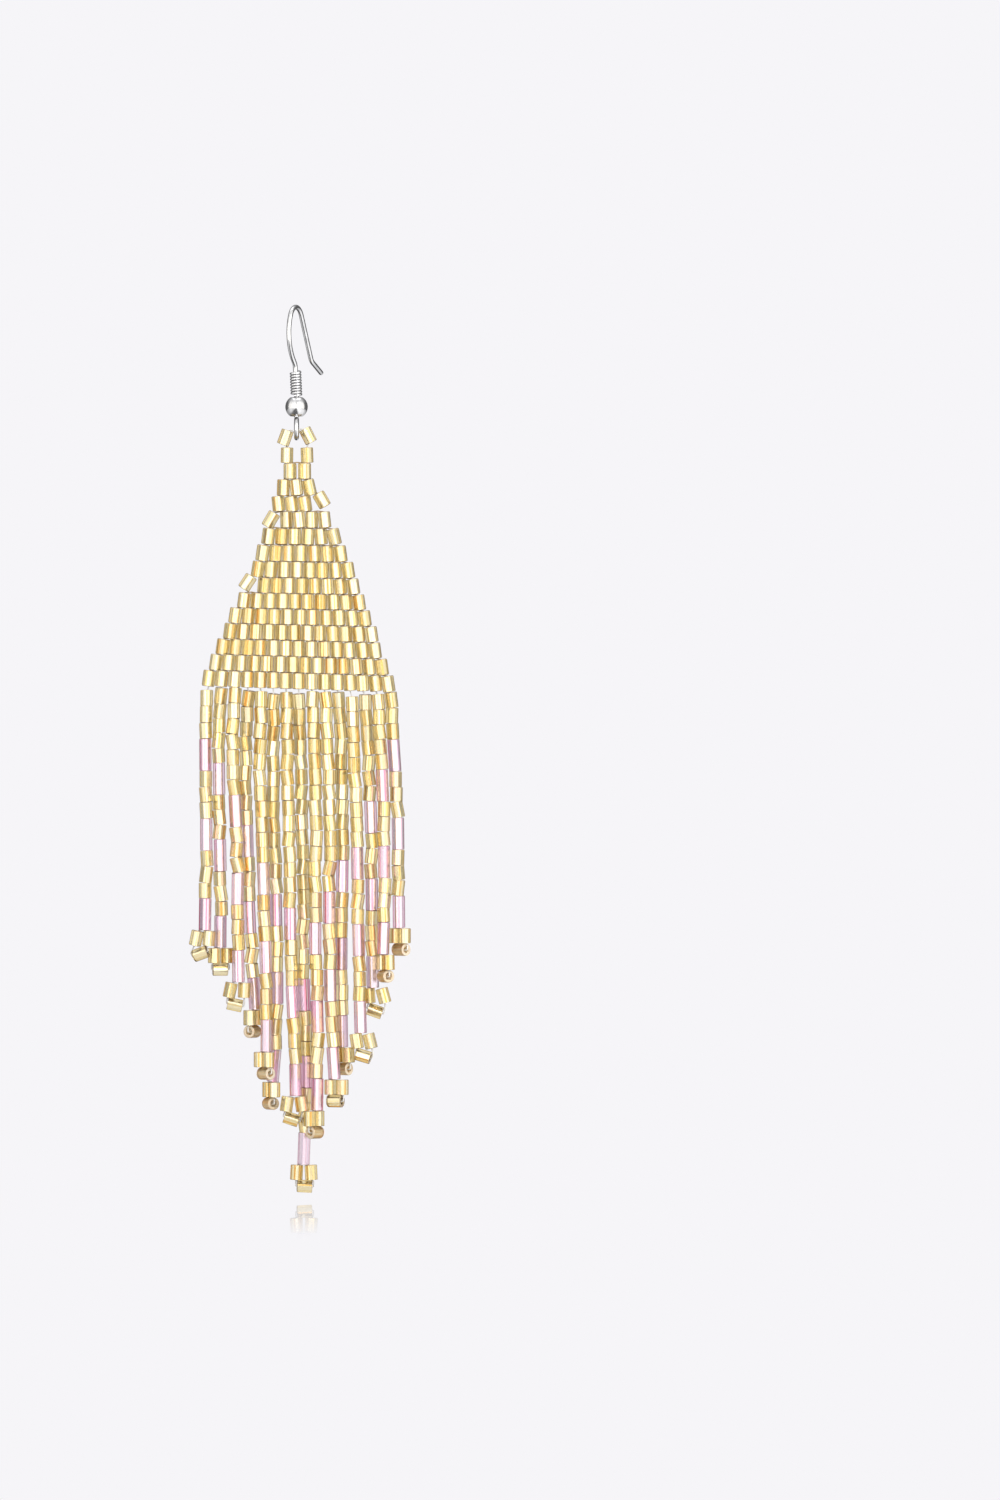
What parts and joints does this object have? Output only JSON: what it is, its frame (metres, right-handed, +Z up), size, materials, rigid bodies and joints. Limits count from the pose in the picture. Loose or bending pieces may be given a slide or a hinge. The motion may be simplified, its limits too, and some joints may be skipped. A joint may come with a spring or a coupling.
{
  "type": "beaded dangle earring",
  "caption": "Fish hook ear wire with a wound coil and round bead, from which a woven triangle of cylinder beads hangs with a long pointed fringe of gold and pink bead strands.",
  "frame": {"origin": "inside of the round top of the hook, where the earring hangs in the ear", "axes": "+Z up against gravity, -Y towards the front of the woven triangle, +X to the right as seen from the front"},
  "size_m": [0.0299, 0.0109, 0.12],
  "materials": {
    "metal": "polished",
    "gold_glass": "glossy",
    "pink_glass": "glossy",
    "thread": "matte"
  },
  "bodies": {
    "hook": {"ear_wire": "metal", "wire_coil": "metal", "ball_bead": "metal"},
    "drop": {"loop_beads": "gold_glass", "loop_thread": "thread", "woven_panel": "gold_glass", "strand_01_gold": "gold_glass", "strand_01_bugles": "pink_glass", "strand_01_thread": "thread", "strand_02_gold": "gold_glass", "strand_02_bugles": "pink_glass", "strand_02_thread": "thread", "strand_03_gold": "gold_glass", "strand_03_bugles": "pink_glass", "strand_03_thread": "thread", "strand_04_gold": "gold_glass", "strand_04_bugles": "pink_glass", "strand_04_thread": "thread", "strand_05_gold": "gold_glass", "strand_05_bugles": "pink_glass", "strand_05_thread": "thread", "strand_06_gold": "gold_glass", "strand_06_bugles": "pink_glass", "strand_06_thread": "thread", "strand_07_gold": "gold_glass", "strand_07_bugles": "pink_glass", "strand_07_thread": "thread", "strand_08_gold": "gold_glass", "strand_08_bugles": "pink_glass", "strand_08_thread": "thread", "strand_09_gold": "gold_glass", "strand_09_bugles": "pink_glass", "strand_09_thread": "thread", "strand_10_gold": "gold_glass", "strand_10_bugles": "pink_glass", "strand_10_thread": "thread", "strand_11_gold": "gold_glass", "strand_11_bugles": "pink_glass", "strand_11_thread": "thread", "strand_12_gold": "gold_glass", "strand_12_bugles": "pink_glass", "strand_12_thread": "thread", "strand_13_gold": "gold_glass", "strand_13_bugles": "pink_glass", "strand_13_thread": "thread", "strand_14_gold": "gold_glass", "strand_14_bugles": "pink_glass", "strand_14_thread": "thread", "strand_15_gold": "gold_glass", "strand_15_bugles": "pink_glass", "strand_15_thread": "thread"}
  },
  "joints": [
    {"name": "drop_swing", "type": "hinge", "parent": "hook", "child": "drop", "pos_m": [0.00007, 0.00018, -0.01689], "axis": [1, 0, 0], "range_deg": [-60, 60]}
  ]
}
